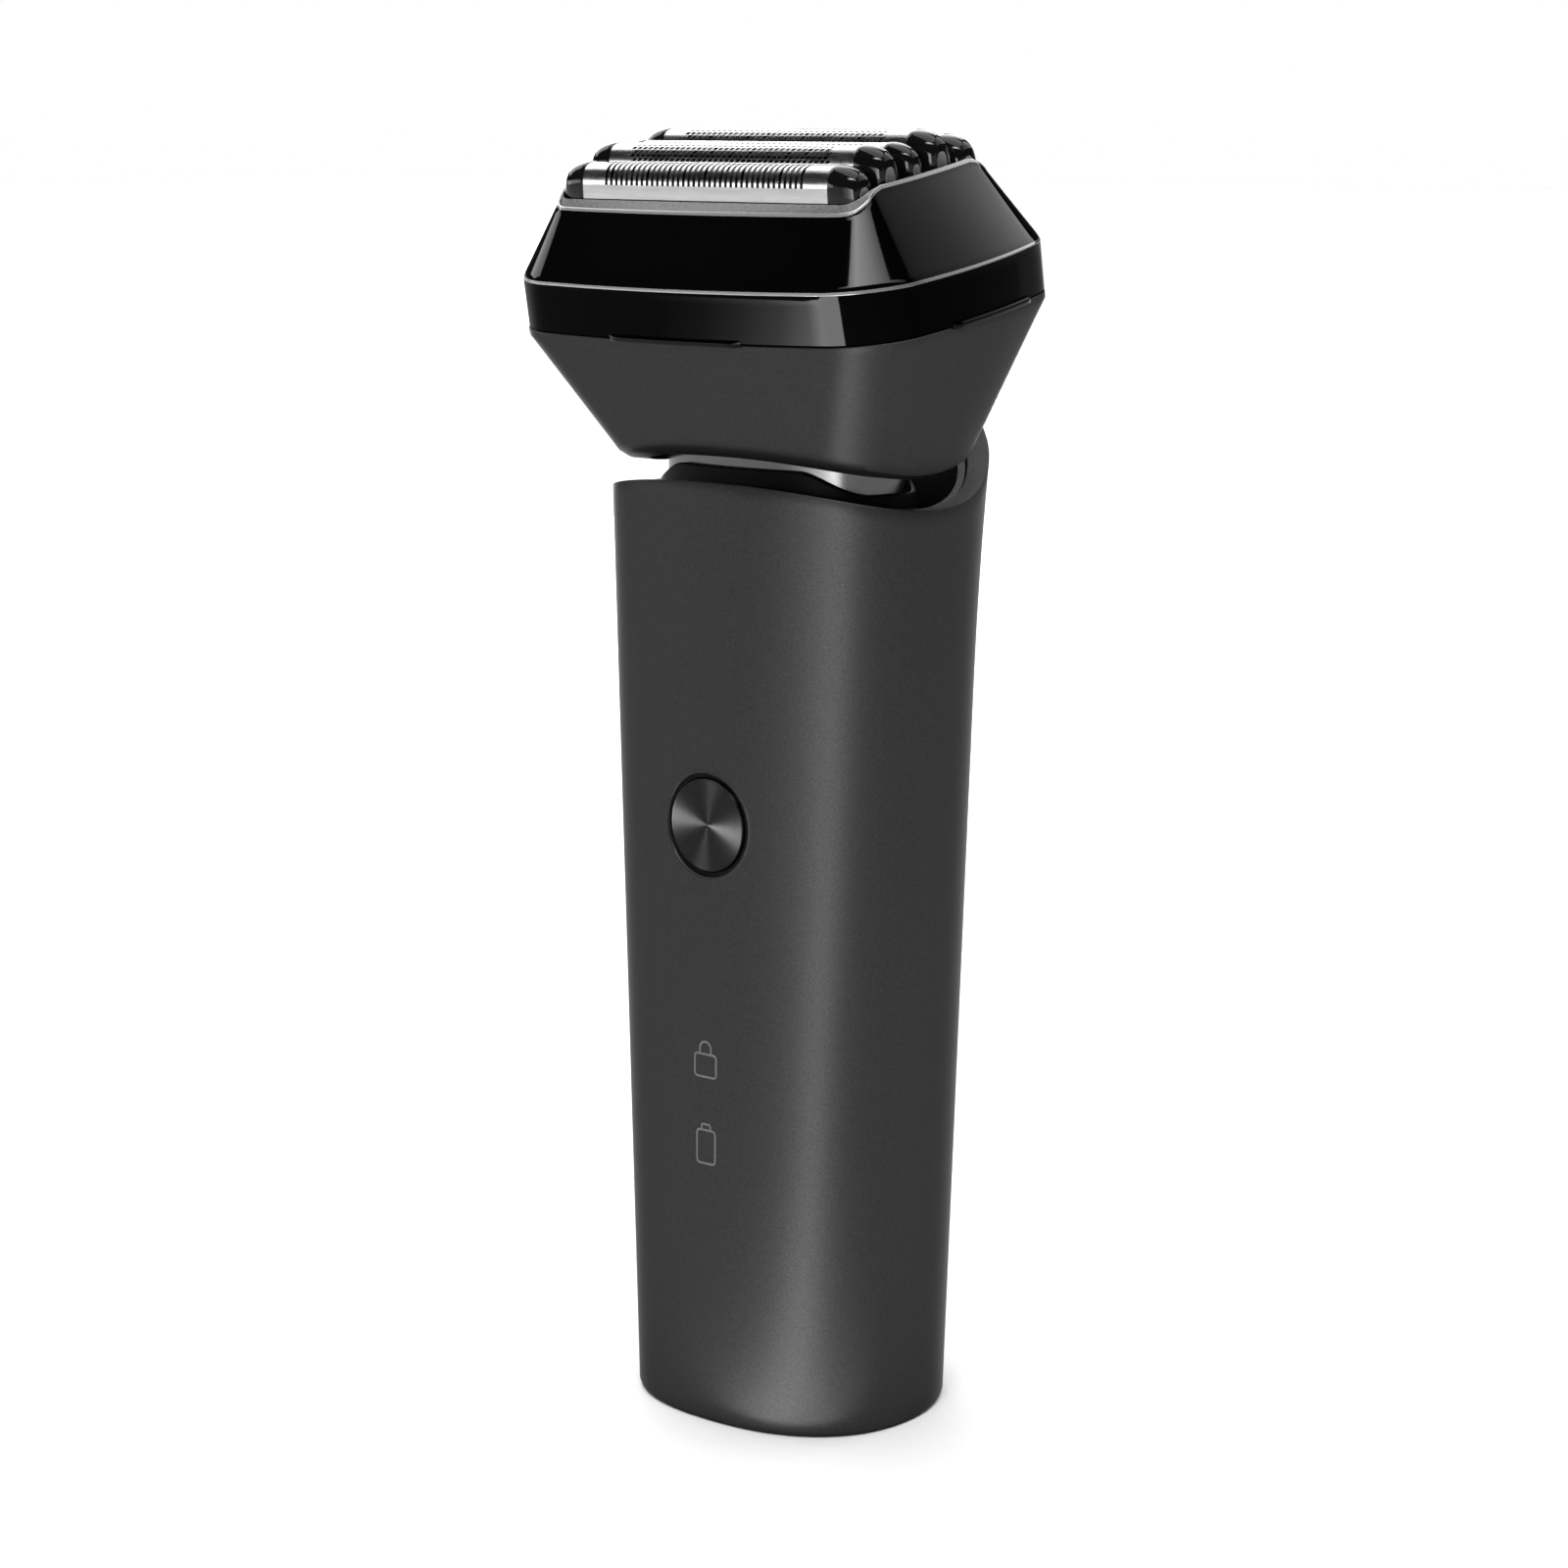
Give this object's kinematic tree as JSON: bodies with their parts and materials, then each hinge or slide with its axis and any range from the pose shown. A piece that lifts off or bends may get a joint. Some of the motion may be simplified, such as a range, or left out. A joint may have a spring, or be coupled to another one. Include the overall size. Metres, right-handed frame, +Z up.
{
  "type": "electric shaver",
  "caption": "Cordless foil shaver: tapered dark satin handle with a round power button, and a nodding gloss-black head with parallel floating foils.",
  "frame": {"origin": "centre line of the handle on its flat base face", "axes": "+Z up along the handle, -Y towards the button side, +X to the right of someone facing the button"},
  "size_m": [0.0644, 0.0483, 0.1612],
  "materials": {
    "satin_casing": "fine satin metallic dark grey",
    "satin_head": "fine satin metallic dark grey",
    "casing_black": "matt black",
    "gloss_black": "high gloss black",
    "cap_black": "gloss black",
    "satin_grey": "satin grey, sprayed",
    "foil_steel": "fine ground steel",
    "cutter_steel": "ground steel",
    "bright_metal": "polished",
    "button_metal": "spun, dark anodised",
    "dark_plastic": "matt",
    "seal_rubber": "soft matt",
    "plain_steel": "plain",
    "brass_weight": "machined",
    "cell_wrap": "shrink wrap",
    "board_green": "solder mask",
    "clear_guide": "clear"
  },
  "bodies": {
    "handle": {"handle_shell": "satin_casing", "base_cap": "casing_black", "base_seal": "seal_rubber", "usb_port_shell": "plain_steel", "usb_port_tongue": "dark_plastic", "inner_chassis": "casing_black", "battery_cell": "cell_wrap", "battery_tabs": "plain_steel", "circuit_board": "board_green", "board_components": "dark_plastic", "tact_switch": "dark_plastic", "indicator_leds": "clear_guide", "lock_light_guide": "clear_guide", "battery_light_guide": "clear_guide", "button_ring": "casing_black", "button_seal": "seal_rubber", "base_screws": "plain_steel", "board_screws": "plain_steel", "neck_sleeve": "bright_metal", "neck_collar": "casing_black", "neck_bracket": "casing_black", "rim_liner": "casing_black", "guide_pins": "plain_steel"},
    "power_button": {"button_cap": "button_metal", "button_stem": "dark_plastic"},
    "head": {"head_lower_shell": "satin_head", "deck": "casing_black", "deck_seal": "seal_rubber", "guide_rods": "plain_steel", "motor_can": "plain_steel", "motor_magnets": "plain_steel", "motor_screws": "plain_steel", "rocker_rails": "plain_steel", "head_magnets": "plain_steel"},
    "rotor": {"rotor_shaft": "plain_steel", "rotor_core": "plain_steel", "eccentric": "brass_weight"},
    "bridge": {"drive_bridge": "dark_plastic", "drive_prongs": "cutter_steel"},
    "cassette": {"cassette_cover": "gloss_black", "foil_carrier": "satin_grey", "leaf_springs": "cutter_steel", "keeper_plates": "cutter_steel"},
    "foil_unit_1": {"foil_1": "foil_steel", "end_caps_1": "cap_black"},
    "cutter_unit_1": {"cutter_1": "cutter_steel"},
    "foil_unit_2": {"foil_2": "foil_steel", "end_caps_2": "cap_black"},
    "cutter_unit_2": {"cutter_2": "cutter_steel"},
    "foil_unit_3": {"foil_3": "foil_steel", "end_caps_3": "cap_black"},
    "cutter_unit_3": {"cutter_3": "cutter_steel"},
    "foil_unit_4": {"foil_4": "foil_steel", "end_caps_4": "cap_black"},
    "cutter_unit_4": {"cutter_4": "cutter_steel"},
    "foil_unit_5": {"foil_5": "foil_steel", "end_caps_5": "cap_black"},
    "cutter_unit_5": {"cutter_5": "cutter_steel"}
  },
  "joints": [
    {"name": "button_press", "type": "slide", "parent": "handle", "child": "power_button", "axis": [0, 1, 0], "range_m": [0, 0.0004], "stiffness_N_per_m": 2000, "springref_m": -0.0003},
    {"name": "head_tilt", "type": "hinge", "parent": "handle", "child": "head", "pos_m": [0, -0.0015, 0.151], "axis": [1, 0, 0], "range_deg": [-4, 4], "stiffness_Nm_per_rad": 0.3},
    {"name": "motor_spin", "type": "hinge", "parent": "head", "child": "rotor", "pos_m": [0, -0.00252, 0.14585], "axis": [0, -0.1701, 0.9854], "continuous": true},
    {"name": "bridge_stroke", "type": "slide", "parent": "head", "child": "bridge", "axis": [1, 0, 0], "range_m": [-0.001, 0.001], "stiffness_N_per_m": 500},
    {"name": "cassette_lift", "type": "slide", "parent": "head", "child": "cassette", "axis": [0, -0.1701, 0.9854], "range_m": [0, 0.03]},
    {"name": "foil_float_1", "type": "slide", "parent": "cassette", "child": "foil_unit_1", "axis": [0, 0.1701, -0.9854], "range_m": [0, 0.0012], "stiffness_N_per_m": 400, "springref_m": -0.0005},
    {"name": "cutter_stroke_1", "type": "slide", "parent": "foil_unit_1", "child": "cutter_unit_1", "axis": [1, 0, 0], "range_m": [-0.001, 0.001]},
    {"name": "foil_float_2", "type": "slide", "parent": "cassette", "child": "foil_unit_2", "axis": [0, 0.1701, -0.9854], "range_m": [0, 0.0012], "stiffness_N_per_m": 400, "springref_m": -0.0005},
    {"name": "cutter_stroke_2", "type": "slide", "parent": "foil_unit_2", "child": "cutter_unit_2", "axis": [1, 0, 0], "range_m": [-0.001, 0.001]},
    {"name": "foil_float_3", "type": "slide", "parent": "cassette", "child": "foil_unit_3", "axis": [0, 0.1701, -0.9854], "range_m": [0, 0.0012], "stiffness_N_per_m": 400, "springref_m": -0.0005},
    {"name": "cutter_stroke_3", "type": "slide", "parent": "foil_unit_3", "child": "cutter_unit_3", "axis": [1, 0, 0], "range_m": [-0.001, 0.001]},
    {"name": "foil_float_4", "type": "slide", "parent": "cassette", "child": "foil_unit_4", "axis": [0, 0.1701, -0.9854], "range_m": [0, 0.0012], "stiffness_N_per_m": 400, "springref_m": -0.0005},
    {"name": "cutter_stroke_4", "type": "slide", "parent": "foil_unit_4", "child": "cutter_unit_4", "axis": [1, 0, 0], "range_m": [-0.001, 0.001]},
    {"name": "foil_float_5", "type": "slide", "parent": "cassette", "child": "foil_unit_5", "axis": [0, 0.1701, -0.9854], "range_m": [0, 0.0012], "stiffness_N_per_m": 400, "springref_m": -0.0005},
    {"name": "cutter_stroke_5", "type": "slide", "parent": "foil_unit_5", "child": "cutter_unit_5", "axis": [1, 0, 0], "range_m": [-0.001, 0.001]}
  ],
  "couplings": [
    {"joint": "cutter_stroke_1", "follows": "bridge_stroke", "ratio": 1},
    {"joint": "cutter_stroke_2", "follows": "bridge_stroke", "ratio": 1},
    {"joint": "cutter_stroke_3", "follows": "bridge_stroke", "ratio": 1},
    {"joint": "cutter_stroke_4", "follows": "bridge_stroke", "ratio": 1},
    {"joint": "cutter_stroke_5", "follows": "bridge_stroke", "ratio": 1}
  ]
}
